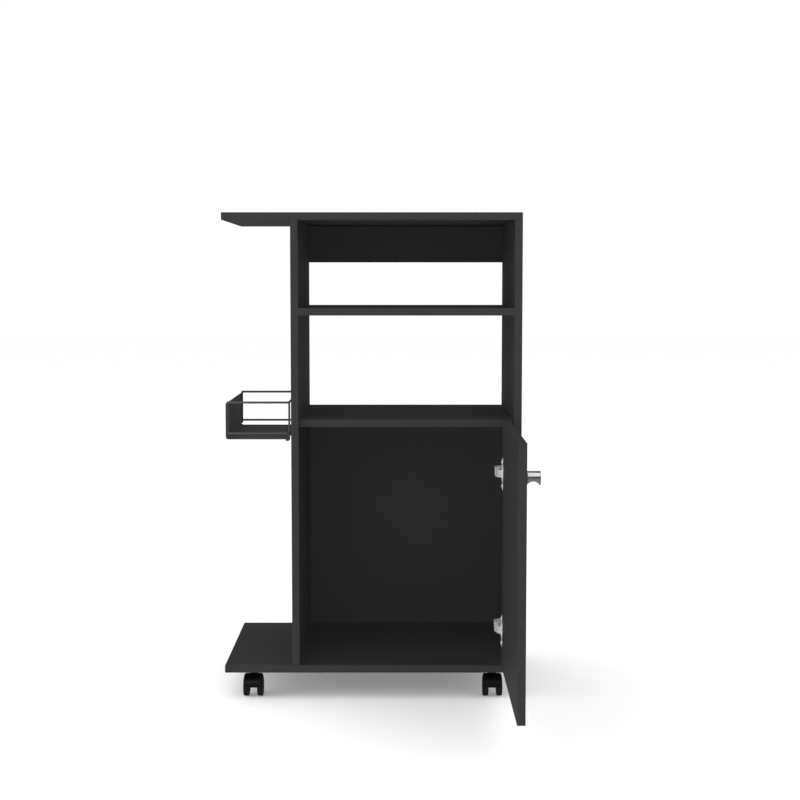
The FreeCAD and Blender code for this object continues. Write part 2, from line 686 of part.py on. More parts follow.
def build():
    """Write every node."""
    basket_ways = screw_ways(BASKET_SCREWS, SMALL_SCREW)
    hinge_ways = screw_ways(PLATE_SCREWS + ARM_SCREWS, SMALL_SCREW)
    all_cams = [seat for joint in CAM_SEATS.values() for seat in joint]
    all_dowels = [seat for joint in DOWEL_SEATS.values() for seat in joint]
    save("top_panel", top_panel())
    save("side_panel_left", side_panel(LEFT_OUT, LEFT_IN, basket_ways))
    save("side_panel_right", side_panel(RIGHT_IN, WIDTH, hinge_ways))
    save("upper_shelf", shelf(0, UPPER_SHELF_Z, "upper", []))
    save("lower_shelf", shelf(SHELF_SETBACK, LOWER_SHELF_Z, "lower", nail_ways()))
    save("base_panel", base_panel())
    save("back_rail", back_rail())
    save("back_panel", back_panel())
    save("door_panel", door_panel())
    save("dowels", group(dowel(*seat) for seat in all_dowels))
    save("cam_locks", group(cam_lock(*seat) for seat in all_cams))
    save("cam_bolts", group(cam_bolt(*seat) for seat in all_cams))
    save("cam_caps", group(cam_cap(*seat) for seat in CAM_SEATS["top"]))
    save("confirmat_screws", group(confirmat(seat) for seat in CONFIRMAT_SEATS))
    save("back_nails", group(nail(place) for place in nail_places()))
    for level, z in HINGE_LEVELS.items():
        save("hinge_cup_" + level, hinge_cup(z))
        save("hinge_arm_" + level, hinge_arm(z))
        save("hinge_plate_" + level, hinge_plate(z))
        save("hinge_link_" + level, hinge_link(z))
    save("hinge_pins", group(hinge_pin(z) for z in HINGE_LEVELS.values()))
    save("hinge_cup_screws", group(screw(*place, SMALL_SCREW, 3.5, 1.6) for place in CUP_SCREWS))
    save("hinge_plate_screws", group(screw(*place, SMALL_SCREW, 3.5, 1.6) for place in PLATE_SCREWS))
    save("hinge_arm_screws", group(screw(*place, SMALL_SCREW, 3.2, 2.0) for place in ARM_SCREWS))
    save("knob", knob())
    save("knob_screw", screw(*KNOB_SCREW, 2.0, 4.0, 2.4))
    for corner, place in KINGPIN_PLACES.items():
        caster = "caster_" + corner
        save(caster + "_plate", caster_plate(place))
        save(caster + "_kingpin", caster_kingpin(place))
        save(caster + "_hood", caster_hood(place))
        save(caster + "_axle", caster_axle(place))
        save(caster + "_wheel_left", caster_wheel(place, -1))
        save(caster + "_wheel_right", caster_wheel(place, 1))
    save("caster_screws", group(screw(*place, SMALL_SCREW, 3.2, 1.6) for place in CASTER_SCREWS))
    save("basket_tray", basket_tray())
    save("basket_frame", basket_frame())
    save("basket_brackets", group(basket_bracket(y) for y in BRACKET_ROWS))
    save("basket_screws", group(screw(*place, SMALL_SCREW, 3.8, 2.2) for place in BASKET_SCREWS))


os.makedirs("parts", exist_ok=True)
build()
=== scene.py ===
import json
import math

import bpy
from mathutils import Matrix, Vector

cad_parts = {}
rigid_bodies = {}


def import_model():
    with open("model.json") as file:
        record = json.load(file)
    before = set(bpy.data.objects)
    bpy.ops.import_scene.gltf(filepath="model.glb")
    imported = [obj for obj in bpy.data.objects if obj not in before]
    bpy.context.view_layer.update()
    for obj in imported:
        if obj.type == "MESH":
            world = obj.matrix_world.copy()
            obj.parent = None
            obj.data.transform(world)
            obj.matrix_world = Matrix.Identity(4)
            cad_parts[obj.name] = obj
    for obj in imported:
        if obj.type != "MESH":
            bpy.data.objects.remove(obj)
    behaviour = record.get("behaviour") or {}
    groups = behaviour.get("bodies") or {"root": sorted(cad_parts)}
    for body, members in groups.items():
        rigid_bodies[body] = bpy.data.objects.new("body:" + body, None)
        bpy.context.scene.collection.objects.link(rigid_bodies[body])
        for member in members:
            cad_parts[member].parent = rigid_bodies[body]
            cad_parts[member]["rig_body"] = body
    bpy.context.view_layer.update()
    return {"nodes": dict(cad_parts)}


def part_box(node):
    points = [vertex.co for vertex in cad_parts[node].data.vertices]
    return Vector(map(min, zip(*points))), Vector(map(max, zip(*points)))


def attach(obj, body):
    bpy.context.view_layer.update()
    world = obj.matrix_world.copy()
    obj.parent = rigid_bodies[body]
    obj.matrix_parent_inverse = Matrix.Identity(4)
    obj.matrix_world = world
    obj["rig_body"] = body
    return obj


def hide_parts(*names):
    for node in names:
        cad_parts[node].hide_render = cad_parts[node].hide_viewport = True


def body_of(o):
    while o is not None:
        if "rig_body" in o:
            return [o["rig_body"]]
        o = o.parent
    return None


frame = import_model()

bpy.ops.object.select_all(action="DESELECT")


# ---- worktop, shelves, base and back rail ----
# Chipboard faced with black melamine paper, the pattern running along the length
# of each board, and closed on its cut edges with a thin matching plastic band.

x_axis, y_axis, z_axis = 0, 1, 2

# A Mix node's sockets go by number, because several of them share a name.
mix_factor, number_a, number_b, colour_a, colour_b = 0, 2, 3, 6, 7
mixed_number, mixed_colour = 0, 2

paper_dark = "#2c2c2d"
paper_light = "#323233"
band_colour = "#302e2c"
grain_width_mm, grain_length_mm = 3.0, 180.0
cloud_width_mm, cloud_length_mm = 45.0, 420.0
# The press plate's pearl texture is under 1 mm; it is drawn at 2.4 mm to show.
pearl_mm = 2.4
board_relief = 0.0002


def linear(hex_colour):
    """An sRGB hex colour as the linear RGBA that shaders take."""
    channels = [int(hex_colour[place : place + 2], 16) / 255 for place in (1, 3, 5)]
    curve = [
        level / 12.92 if level <= 0.04045 else ((level + 0.055) / 1.055) ** 2.4
        for level in channels
    ]
    return (*curve, 1.0)


def add_node(tree, kind, settings=None, links=None):
    """Adds one shader node, sets its properties and sockets, and links its inputs."""
    made = tree.nodes.new("ShaderNode" + kind)
    for name, value in (settings or {}).items():
        if isinstance(name, int) or name in made.inputs:
            made.inputs[name].default_value = value
        else:
            setattr(made, name, value)
    for name, source in (links or {}).items():
        tree.links.new(source, made.inputs[name])
    return made


def blank_material(name):
    """A new material with an empty node tree."""
    material = bpy.data.materials.new(name)
    material.use_nodes = True
    material.node_tree.nodes.clear()
    return material, material.node_tree


def blotches(tree, place, sizes_mm, detail=2.0, roughness=0.5):
    """A soft mottle whose blotches measure sizes_mm along X, Y and Z."""
    scale = [1000 / size for size in sizes_mm]
    mapping = add_node(tree, "Mapping", {"Scale": scale}, {"Vector": place})
    settings = {"Scale": 1.0, "Detail": detail, "Roughness": roughness}
    noise = add_node(tree, "TexNoise", settings, {"Vector": mapping.outputs["Vector"]})
    return noise.outputs["Fac"]


def melamine_board(name, grain_axis, face_axis):
    """Melamine paper pressed on chipboard: satin, near black, with a faint grain."""
    material, tree = blank_material(name)
    place = add_node(tree, "TexCoord")
    spot = place.outputs["Object"]
    grain_size = [grain_width_mm] * 3
    grain_size[grain_axis] = grain_length_mm
    cloud_size = [cloud_width_mm] * 3
    cloud_size[grain_axis] = cloud_length_mm
    grain = blotches(tree, spot, grain_size, 3.0, 0.6)
    cloud = blotches(tree, spot, cloud_size)
    pearl = blotches(tree, spot, [pearl_mm] * 3, 1.0)
    pattern = add_node(
        tree,
        "Mix",
        {"data_type": "FLOAT", mix_factor: 0.4},
        {number_a: grain, number_b: cloud},
    )
    shade = add_node(tree, "ValToRGB", links={"Fac": pattern.outputs[mixed_number]})
    shade.color_ramp.elements[0].position = 0.36
    shade.color_ramp.elements[0].color = linear(paper_dark)
    shade.color_ramp.elements[1].position = 0.64
    shade.color_ramp.elements[1].color = linear(paper_light)
    # The band is told from the faces by which way the surface points.
    facing = add_node(tree, "SeparateXYZ", links={"Vector": place.outputs["Normal"]})
    size_of = add_node(
        tree, "Math", {"operation": "ABSOLUTE"}, {0: facing.outputs[face_axis]}
    )
    on_band = add_node(
        tree, "Math", {"operation": "LESS_THAN", 1: 0.5}, {0: size_of.outputs[0]}
    )
    colour = add_node(
        tree,
        "Mix",
        {"data_type": "RGBA", colour_b: linear(band_colour)},
        {mix_factor: on_band.outputs[0], colour_a: shade.outputs["Color"]},
    )
    gloss = add_node(
        tree,
        "MapRange",
        {"From Min": 0.3, "From Max": 0.7, "To Min": 0.48, "To Max": 0.60},
        {"Value": pattern.outputs[mixed_number]},
    )
    relief = add_node(
        tree,
        "Mix",
        {"data_type": "FLOAT", mix_factor: 0.35},
        {number_a: grain, number_b: pearl},
    )
    bump = add_node(
        tree,
        "Bump",
        {"Strength": 0.22, "Distance": board_relief},
        {"Height": relief.outputs[mixed_number]},
    )
    surface = add_node(
        tree,
        "BsdfPrincipled",
        {"IOR": 1.5, "Specular IOR Level": 0.25},
        {
            "Base Color": colour.outputs[mixed_colour],
            "Roughness": gloss.outputs["Result"],
            "Normal": bump.outputs["Normal"],
        },
    )
    add_node(tree, "OutputMaterial", links={"Surface": surface.outputs["BSDF"]})
    return material


def repaint(nodes, material):
    """Gives CAD nodes their finished material."""
    for node in nodes:
        mesh = frame["nodes"][node].data
        mesh.materials.clear()
        mesh.materials.append(material)


# Pressed melamine gives the eye an even near-black with a soft sheen, a faint grain
# along the board, and a slightly warmer line where the plastic band closes the edge.
flat_board = melamine_board("black melamine, flat boards", x_axis, z_axis)
rail_board = melamine_board("black melamine, rail", x_axis, y_axis)
repaint(["top_panel", "upper_shelf", "lower_shelf", "base_panel"], flat_board)
repaint(["back_rail"], rail_board)


# ---- side panels ----
# The same faced chipboard, cut with its pattern upright. They stand on the base and
# carry the worktop, the shelves and the rail between them.

upright_board = melamine_board("black melamine, upright boards", z_axis, x_axis)
repaint(["side_panel_left", "side_panel_right"], upright_board)


# ---- door ----
# One more board of the same stock, banded on all four edges, bored on its inner
# face for two hinge cups and right through for the knob's screw.

repaint(["door_panel"], upright_board)


# ---- cabinet back ----
# Thin hardboard, painted black on the inside and nailed over the rear edges of the
# cabinet's boards.

# Rolled paint on pressed fibre: duller than the boards, with a fine felted mottle.
material, tree = blank_material("painted hardboard")
place = add_node(tree, "TexCoord")
fibre_mm = [4.0, 4.0, 9.0]
fibre = blotches(tree, place.outputs["Object"], fibre_mm, 4.0, 0.65)
shade = add_node(tree, "ValToRGB", links={"Fac": fibre})
shade.color_ramp.elements[0].position = 0.35
shade.color_ramp.elements[0].color = linear("#2f2e2f")
shade.color_ramp.elements[1].position = 0.65
shade.color_ramp.elements[1].color = linear("#363535")
gloss = add_node(tree, "MapRange", {"To Min": 0.5, "To Max": 0.68}, {"Value": fibre})
bump = add_node(
    tree, "Bump", {"Strength": 0.2, "Distance": board_relief}, {"Height": fibre}
)
surface = add_node(
    tree,
    "BsdfPrincipled",
    {"IOR": 1.48, "Specular IOR Level": 0.3},
    {
        "Base Color": shade.outputs["Color"],
        "Roughness": gloss.outputs["Result"],
        "Normal": bump.outputs["Normal"],
    },
)
add_node(tree, "OutputMaterial", links={"Surface": surface.outputs["BSDF"]})
repaint(["back_panel"], material)


# ---- board fasteners ----
# Beech dowels, zinc cams with their bolts, plated screws and nails, and plastic
# caps pressed over the cams that would show on the inside of the side panels.

fine_relief = 0.0001


def plain_finish(
    name, dark, light, grain_mm, rough, metallic=0.0, relief=0.15, specular=0.5
):
    """A one-stuff finish: mottled colour and gloss, and a fine relief."""
    material, tree = blank_material(name)
    place = add_node(tree, "TexCoord")
    grain = blotches(tree, place.outputs["Object"], [grain_mm] * 3, 4.0, 0.6)
    shade = add_node(tree, "ValToRGB", links={"Fac": grain})
    shade.color_ramp.elements[0].position = 0.3
    shade.color_ramp.elements[0].color = linear(dark)
    shade.color_ramp.elements[1].position = 0.7
    shade.color_ramp.elements[1].color = linear(light)
    gloss = add_node(
        tree,
        "MapRange",
        {"From Min": 0.3, "From Max": 0.7, "To Min": rough[0], "To Max": rough[1]},
        {"Value": grain},
    )
    bump = add_node(
        tree, "Bump", {"Strength": relief, "Distance": fine_relief}, {"Height": grain}
    )
    surface = add_node(
        tree,
        "BsdfPrincipled",
        {"Metallic": metallic, "Specular IOR Level": specular},
        {
            "Base Color": shade.outputs["Color"],
            "Roughness": gloss.outputs["Result"],
            "Normal": bump.outputs["Normal"],
        },
    )
    add_node(tree, "OutputMaterial", links={"Surface": surface.outputs["BSDF"]})
    return material


# Turned beech gives a dry, pale wood; the dowels are hidden once the boards meet.
beech = plain_finish("beech dowel", "#b08a5c", "#cda877", 3.0, (0.55, 0.7))
# As-cast zinc gives a dull grey metal with a slightly grainy skin.
cast_zinc = plain_finish(
    "die-cast zinc", "#8b8c8e", "#a9aaac", 1.5, (0.35, 0.5), metallic=1.0
)
# Electroplated zinc gives a cool, bright metal whose reflections are softly blurred.
zinc_plate = plain_finish(
    "zinc-plated steel", "#a4a6aa", "#c3c5c8", 2.0, (0.25, 0.4), metallic=1.0
)
# Moulded polystyrene gives a plain black disc, a little smoother than the board.
cap_plastic = plain_finish(
    "moulded polystyrene", "#232221", "#292827", 1.5, (0.4, 0.5)
)
repaint(["dowels"], beech)
repaint(["cam_locks"], cast_zinc)
repaint(["cam_bolts", "confirmat_screws", "back_nails"], zinc_plate)
repaint(["cam_caps"], cap_plastic)


# ---- concealed hinges ----
# Pressed steel, nickel plated: a cup with a screw flange sunk in the door, a cranked
# arm on a mounting plate on the side panel, and the link that swings between them.

cup_edge = 0.00035
arm_edge = 0.0003
hinge_plate_edge = 0.0004
link_edge = 0.0005
screw_edge = 0.0004
merge_gap = 0.00001
# A driver's cross in a screw head, in parts of the head's radius.
bar_width = 0.26
bar_depth = 0.8
bar_length = 1.15


def select_only(piece):
    """Leaves one piece selected and active."""
    bpy.ops.object.select_all(action="DESELECT")
    piece.select_set(True)
    bpy.context.view_layer.objects.active = piece


def apply_modifier(piece, kind, **settings):
    """Adds a modifier, sets it and applies it."""
    select_only(piece)
    modifier = piece.modifiers.new(kind.lower(), kind)
    for name, value in settings.items():
        setattr(modifier, name, value)
    bpy.ops.object.modifier_apply(modifier=modifier.name)


def round_edges(piece, radius, segments=2, angle=30):
    """Rounds the sharp edges and shades the rest smooth."""
    apply_modifier(
        piece,
        "BEVEL",
        width=radius,
        segments=segments,
        limit_method="ANGLE",
        angle_limit=math.radians(angle),
        use_clamp_overlap=True,
    )
    bpy.ops.object.shade_smooth_by_angle(angle=math.radians(angle))


def dress(piece, material, *nodes):
    """Paints a piece and lets it take the place of CAD nodes on their body."""
    piece.data.materials.clear()
    piece.data.materials.append(material)
    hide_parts(*nodes)
    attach(piece, body_of(frame["nodes"][nodes[0]])[0])


def rounded_node(node, radius, material):
    """A copy of a node with its faces merged and its edges rounded, in its place."""
    piece = bpy.data.objects.new(node + "_rounded", frame["nodes"][node].data.copy())
    bpy.context.collection.objects.link(piece)
    select_only(piece)
    bpy.ops.object.mode_set(mode="EDIT")
    bpy.ops.mesh.select_all(action="SELECT")
    bpy.ops.mesh.remove_doubles(threshold=merge_gap)
    bpy.ops.mesh.dissolve_limited(angle_limit=math.radians(0.5))
    bpy.ops.object.mode_set(mode="OBJECT")
    round_edges(piece, radius)
    dress(piece, material, node)
    return piece


def settle(piece, name):
    """Names a new primitive and puts its place into its mesh."""
    piece.name = name
    select_only(piece)
    bpy.ops.object.transform_apply(location=True, rotation=True, scale=True)


def shell_boxes(mesh):
    """The lowest and highest corner of each separate shell in a mesh."""
    shell = list(range(len(mesh.vertices)))
    moved = True
    while moved:
        moved = False
        for edge in mesh.edges:
            first, second = edge.vertices
            if shell[first] != shell[second]:
                shell[first] = shell[second] = min(shell[first], shell[second])
                moved = True
    boxes = []
    for label in sorted(set(shell)):
        spots = [v.co for v in mesh.vertices if shell[v.index] == label]
        low = Vector([min(spot[axis] for spot in spots) for axis in range(3)])
        high = Vector([max(spot[axis] for spot in spots) for axis in range(3)])
        boxes.append((low, high))
    return boxes


def cross_recess(screws, along):
    """Sinks a driver's cross into each head; heads face down the given axis."""
    across = [axis for axis in (x_axis, y_axis, z_axis) if axis != along]
    boxes = shell_boxes(screws.data)
    for long_way in across:
        bars = []
        for low, high in boxes:
            head_radius = (high[across[0]] - low[across[0]]) / 2
            place = (low + high) / 2
            place[along] = low[along]
            size = Vector([bar_width] * 3) * head_radius
            size[along] = bar_depth * head_radius
            size[long_way] = bar_length * head_radius
            bpy.ops.mesh.primitive_cube_add(size=1, location=place, scale=size)
            bars.append(bpy.context.object)
        for bar in bars:
            bar.select_set(True)
        bpy.ops.object.join()
        cutter = bpy.context.object
        settle(cutter, "driver_bars")
        apply_modifier(
            screws, "BOOLEAN", object=cutter, operation="DIFFERENCE", solver="EXACT"
        )
        bpy.data.objects.remove(cutter)


# Nickel over pressed steel: a satin, slightly warm metal that keeps a bright body.
nickel = plain_finish(
    "nickel-plated steel",
    "#e6e4e0",
    "#f0eeea",
    2.5,
    (0.22, 0.3),
    metallic=0.6,
    relief=0.05,
)
for level in ("upper", "lower"):
    rounded_node("hinge_cup_" + level, cup_edge, nickel)
    rounded_node("hinge_arm_" + level, arm_edge, nickel)
    rounded_node("hinge_plate_" + level, hinge_plate_edge, nickel)
    rounded_node("hinge_link_" + level, link_edge, nickel)
repaint(["hinge_pins"], nickel)
for node in ("hinge_cup_screws", "hinge_plate_screws", "hinge_arm_screws"):
    cross_recess(rounded_node(node, screw_edge, nickel), x_axis)


# ---- knob ----
# Cast zinc, turned and chrome plated, with a finger scoop milled across its
# underside; a machine screw holds it from inside the door.

knob_low, knob_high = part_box("knob")
knob_middle = (knob_low + knob_high) / 2
knob_radius = (knob_high.z - knob_low.z) / 2
knob_length = knob_high.x - knob_low.x
knob_edge = 0.0005
knob_facets = 96
# The end face, from its rim inwards: width of each step, and how far it sinks.
end_steps = ((0.0012, 0), (0.003, -0.0004), (0.004, -0.0002))
scoop_radius = 0.012
scoop_height = 0.0074
scoop_from_door = 0.0128


def pick_faces(piece, test):
    """Selects the faces that pass a test, leaving the piece in edit mode."""
    bpy.ops.object.mode_set(mode="EDIT")
    bpy.ops.mesh.select_mode(type="FACE")
    bpy.ops.mesh.select_all(action="DESELECT")
    bpy.ops.object.mode_set(mode="OBJECT")
    for face in piece.data.polygons:
        face.select = test(face)
    bpy.ops.object.mode_set(mode="EDIT")


def inset_steps(steps):
    """Steps a selected face inwards; the last step's face stays selected."""
    for thickness, depth in steps:
        bpy.ops.mesh.inset(thickness=thickness, depth=depth)


bpy.ops.mesh.primitive_cylinder_add(
    vertices=knob_facets,
    radius=knob_radius,
    depth=knob_length,
    location=knob_middle,
    rotation=(0, math.radians(90), 0),
)
knob = bpy.context.object
settle(knob, "scooped_knob")
pick_faces(knob, lambda face: face.normal.x > 0.9)
inset_steps(end_steps)
bpy.ops.object.mode_set(mode="OBJECT")
bpy.ops.mesh.primitive_cylinder_add(
    vertices=knob_facets,
    radius=scoop_radius,
    depth=4 * knob_radius,
    location=(
        knob_low.x + scoop_from_door,
        knob_middle.y,
        knob_low.z + scoop_height - scoop_radius,
    ),
    rotation=(math.radians(90), 0, 0),
)
cutter = bpy.context.object
apply_modifier(knob, "BOOLEAN", object=cutter, operation="DIFFERENCE", solver="EXACT")
bpy.data.objects.remove(cutter)
round_edges(knob, knob_edge, 3, 25)
# Polished chrome over zinc gives crisp light and dark bands along the turned body.
chrome = plain_finish(
    "chrome plate", "#a6a7aa", "#b6b7b9", 6.0, (0.08, 0.15), metallic=1.0, relief=0.04
)
dress(knob, chrome, "knob")
# Painted screw heads give a satin black that sinks into the board round them.
black_screw = plain_finish(
    "black-painted steel", "#262627", "#2e2e2f", 1.0, (0.45, 0.6)
)
cross_recess(rounded_node("knob_screw", screw_edge, black_screw), x_axis)


# ---- casters ----
# Furniture casters: a pressed plate on four screws, a riveted kingpin, a moulded
# nylon hood that swivels on it, and two hollow wheels on one steel axle.

caster_plate_edge = 0.0004
kingpin_edge = 0.0004
hood_edge = 0.0005
wheel_facets = 72
rim_round = 0.0025
tread_depth = 0.0026
# Each step of a wheel's face, from the rim inwards: its width, and how far it sinks.
# Outside: a groove round a shallow dome with a sunk centre.
outer_steps = (
    (0.0012, 0),
    (0.0004, -0.0009),
    (0.0008, 0),
    (0.0004, 0.0009),
    (0.0035, 0.0003),
    (0.0035, 0.0001),
    (0.0030, 0),
    (0.0004, -0.0006),
)
# Inside: a deep dish round the hub, and the hub's blind bore.
inner_steps = (
    (0.0012, 0),
    (0.0004, -0.0058),
    (0.0108, 0),
    (0.0004, 0.0058),
    (0.0032, 0),
    (0.0001, -0.0100),
)

# Dipped e-coat gives a thin, smooth black that lights up only along its edges.
coated_steel = plain_finish(
    "black e-coated steel", "#141414", "#1d1d1d", 1.5, (0.3, 0.45)
)
# Moulded nylon gives the deepest black here, with a low sheen from its fine texture;
# the hood's near-black is partly its own black nylon and partly painted shade, for the
# shade it sits in under the cart.
hood_nylon_and_painted_shade = plain_finish(
    "moulded nylon, hood, with painted shade", "#060606", "#0b0b0b", 1.2, (0.35, 0.5), specular=0.2
)
wheel_nylon = plain_finish(
    "moulded nylon, wheel", "#0a0a0a", "#101010", 1.5, (0.4, 0.55), specular=0.2
)
# Moulded rubber gives a slightly greyer, quite matt band round the wheel.
tread_rubber = plain_finish(
    "moulded rubber, tread", "#0e0e0e", "#161616", 2.0, (0.55, 0.7), specular=0.2
)


def wheel_shape():
    """One hollow wheel on the X axis, its outer face towards +X, at the origin."""
    wheel_low, wheel_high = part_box("caster_front_left_wheel_right")
    width = wheel_high.x - wheel_low.x
    radius = (wheel_high.z - wheel_low.z) / 2
    bpy.ops.mesh.primitive_cylinder_add(
        vertices=wheel_facets,
        radius=radius,
        depth=width,
        rotation=(0, math.radians(90), 0),
    )
    wheel = bpy.context.object
    settle(wheel, "wheel")
    pick_faces(wheel, lambda face: abs(face.normal.x) > 0.9)
    bpy.ops.mesh.region_to_loop()
    bpy.ops.mesh.bevel(offset=rim_round, segments=5)
    # Only the two flat ends have more than a handful of corners.
    pick_faces(wheel, lambda face: face.normal.x > 0.99 and len(face.vertices) > 8)
    inset_steps(outer_steps)
    pick_faces(wheel, lambda face: face.normal.x < -0.99 and len(face.vertices) > 8)
    inset_steps(inner_steps)
    bpy.ops.object.mode_set(mode="OBJECT")
    bpy.ops.object.shade_smooth_by_angle(angle=math.radians(35))
    wheel.data.materials.append(wheel_nylon)
    wheel.data.materials.append(tread_rubber)
    for face in wheel.data.polygons:
        spot = face.center
        on_tread = math.hypot(spot.y, spot.z) > radius - tread_depth
        face.material_index = int(on_tread)
    return wheel


pattern_wheel = wheel_shape()
for corner in ("front_left", "front_right", "back_left", "back_right"):
    caster = "caster_" + corner
    rounded_node(caster + "_plate", caster_plate_edge, coated_steel)
    rounded_node(caster + "_kingpin", kingpin_edge, coated_steel)
    # The hood's near-black material is partly painted shade, for the shade under the
    # cart.
    rounded_node(caster + "_hood", hood_edge, hood_nylon_and_painted_shade)
    repaint([caster + "_axle"], zinc_plate)
    for side, turn in (("left", 180), ("right", 0)):
        node = caster + "_wheel_" + side
        low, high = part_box(node)
        wheel = pattern_wheel.copy()
        wheel.data = pattern_wheel.data.copy()
        bpy.context.collection.objects.link(wheel)
        wheel.rotation_euler.z = math.radians(turn)
        wheel.location = (low + high) / 2
        settle(wheel, node + "_moulded")
        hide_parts(node)
        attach(wheel, body_of(frame["nodes"][node])[0])
bpy.data.objects.remove(pattern_wheel)
cross_recess(rounded_node("caster_screws", screw_edge, zinc_plate), z_axis)


# ---- side basket ----
# Two rings of 4.4 mm wire joined by four uprights, spot-welded to one bent sheet
# that is the floor and the outer wall; satin black powder coat over all.

frame_low, frame_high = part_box("basket_frame")
tray_low, tray_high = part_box("basket_tray")
wire_radius = 0.0022
wire_facets = 20
ring_corner = 0.006
upright_radius = 0.002
hook_bend = 0.0035
hook_length = 0.004
bend_steps = 8
ring_merge_gap = 0.00005
sheet_thickness = 0.0012
sheet_bend = 0.005
sheet_edge = 0.0003
bracket_edge = 0.0005
top_ring_z = frame_high.z - wire_radius
low_ring_z = tray_low.z + 0.0118
outer_foot_z = tray_low.z + 0.0062

# Baked powder gives a charcoal satin with the small bumps of its orange-peel skin.
powder_coat = plain_finish(
    "satin black powder coat",
    "#3e3e3f",
    "#484849",
    2.2,
    (0.42, 0.55),
    relief=0.25,
    specular=0.2,
)


def extrude(direction):
    """Extrudes what is selected along a direction."""
    bpy.ops.mesh.extrude_region_move(TRANSFORM_OT_translate={"value": direction})


def smooth_wire():
    """Leaves edit mode and shades the active wire smooth."""
    bpy.ops.object.mode_set(mode="OBJECT")
    bpy.ops.object.shade_smooth_by_angle(angle=math.radians(40))


def wire_ring(name, z):
    """A closed level ring: a round section carried along four runs and four bends."""
    low_x = frame_low.x + wire_radius
    high_x = frame_high.x - wire_radius
    low_y = frame_low.y + wire_radius
    high_y = frame_high.y - wire_radius
    run_x = high_x - low_x - 2 * ring_corner
    run_y = high_y - low_y - 2 * ring_corner
    bpy.ops.mesh.primitive_circle_add(
        vertices=wire_facets,
        radius=wire_radius,
        location=(low_x, low_y + ring_corner, z),
        rotation=(math.radians(90), 0, 0),
    )
    ring = bpy.context.object
    settle(ring, name)
    bpy.ops.object.mode_set(mode="EDIT")
    bpy.ops.mesh.select_all(action="SELECT")
    runs = ((0, run_y, 0), (run_x, 0, 0), (0, -run_y, 0), (-run_x, 0, 0))
    bends = (
        (low_x + ring_corner, high_y - ring_corner, z),
        (high_x - ring_corner, high_y - ring_corner, z),
        (high_x - ring_corner, low_y + ring_corner, z),
        (low_x + ring_corner, low_y + ring_corner, z),
    )
    for run, bend in zip(runs, bends):
        extrude(run)
        bpy.ops.mesh.spin(
            steps=bend_steps, angle=math.radians(90), center=bend, axis=(0, 0, 1)
        )
    bpy.ops.mesh.select_all(action="SELECT")
    bpy.ops.mesh.remove_doubles(threshold=ring_merge_gap)
    bpy.ops.mesh.normals_make_consistent(inside=False)
    smooth_wire()
    return ring


frame_parts = [wire_ring("top_ring", top_ring_z), wire_ring("low_ring", low_ring_z)]
upright_rows = (
    frame_low.y + wire_radius + ring_corner,
    frame_high.y - wire_radius - ring_corner,
)
for row in upright_rows:
    # Inner upright: down past the floor's edge, then bent in below it as a hook.
    x = frame_high.x - wire_radius
    foot = tray_low.z - upright_radius + hook_bend
    bpy.ops.mesh.primitive_circle_add(
        vertices=wire_facets,
        radius=upright_radius,
        location=(x, row, top_ring_z),
        fill_type="NGON",
    )
    upright = bpy.context.object
    settle(upright, "inner_upright")
    bpy.ops.object.mode_set(mode="EDIT")
    bpy.ops.mesh.select_all(action="SELECT")
    extrude((0, 0, foot - top_ring_z))
    bpy.ops.mesh.spin(
        steps=bend_steps,
        angle=math.radians(-90),
        center=(x - hook_bend, row, foot),
        axis=(0, 1, 0),
    )
    extrude((-hook_length, 0, 0))
    bpy.ops.mesh.select_all(action="SELECT")
    bpy.ops.mesh.normals_make_consistent(inside=False)
    smooth_wire()
    frame_parts.append(upright)
    # Outer upright: straight, against the inside of the wall.
    bpy.ops.mesh.primitive_cylinder_add(
        vertices=wire_facets,
        radius=upright_radius,
        depth=top_ring_z - outer_foot_z,
        location=(
            tray_low.x + sheet_thickness + upright_radius,
            row,
            (top_ring_z + outer_foot_z) / 2,
        ),
    )
    upright = bpy.context.object
    settle(upright, "outer_upright")
    smooth_wire()
    frame_parts.append(upright)
bpy.ops.object.select_all(action="DESELECT")
for part in frame_parts:
    part.select_set(True)
basket_wires = frame_parts[0]
bpy.context.view_layer.objects.active = basket_wires
bpy.ops.object.join()
basket_wires.name = "basket_wires"
dress(basket_wires, powder_coat, "basket_frame")

# The sheet: floor, a quarter bend, then the wall, thickened inwards.
bpy.ops.mesh.primitive_plane_add(size=1, location=(0, 0, 0))
tray = bpy.context.object
tray.scale = (tray_high.x - tray_low.x - sheet_bend, tray_high.y - tray_low.y, 1)
tray.location = (
    (tray_low.x + sheet_bend + tray_high.x) / 2,
    (tray_low.y + tray_high.y) / 2,
    tray_low.z,
)
settle(tray, "basket_sheet")
bpy.ops.object.mode_set(mode="EDIT")
bpy.ops.mesh.select_mode(type="EDGE")
bpy.ops.mesh.select_all(action="DESELECT")
bpy.ops.object.mode_set(mode="OBJECT")
bend_x = tray_low.x + sheet_bend
for edge in tray.data.edges:
    ends = [tray.data.vertices[index].co.x for index in edge.vertices]
    edge.select = max(ends) < bend_x + 0.0001
bpy.ops.object.mode_set(mode="EDIT")
bpy.ops.mesh.spin(
    steps=10,
    angle=math.radians(-90),
    center=(bend_x, 0, tray_low.z + sheet_bend),
    axis=(0, 1, 0),
)
extrude((0, 0, tray_high.z - tray_low.z - sheet_bend))
bpy.ops.mesh.select_all(action="SELECT")
bpy.ops.mesh.remove_doubles(threshold=merge_gap)
bpy.ops.mesh.normals_make_consistent(inside=False)
bpy.ops.object.mode_set(mode="OBJECT")
apply_modifier(tray, "SOLIDIFY", thickness=sheet_thickness, offset=-1)
round_edges(tray, sheet_edge, 2, 40)
dress(tray, powder_coat, "basket_tray")
rounded_node("basket_brackets", bracket_edge, powder_coat)
cross_recess(rounded_node("basket_screws", screw_edge, black_screw), x_axis)


# ---- floor, light and camera ----
# A plain pale floor in a white studio: broad lamps in front and at both sides, a
# surround whose mirror image is darker, and a long lens looking slightly down.

floor_size = 40
floor_mottle_mm = [400.0] * 3

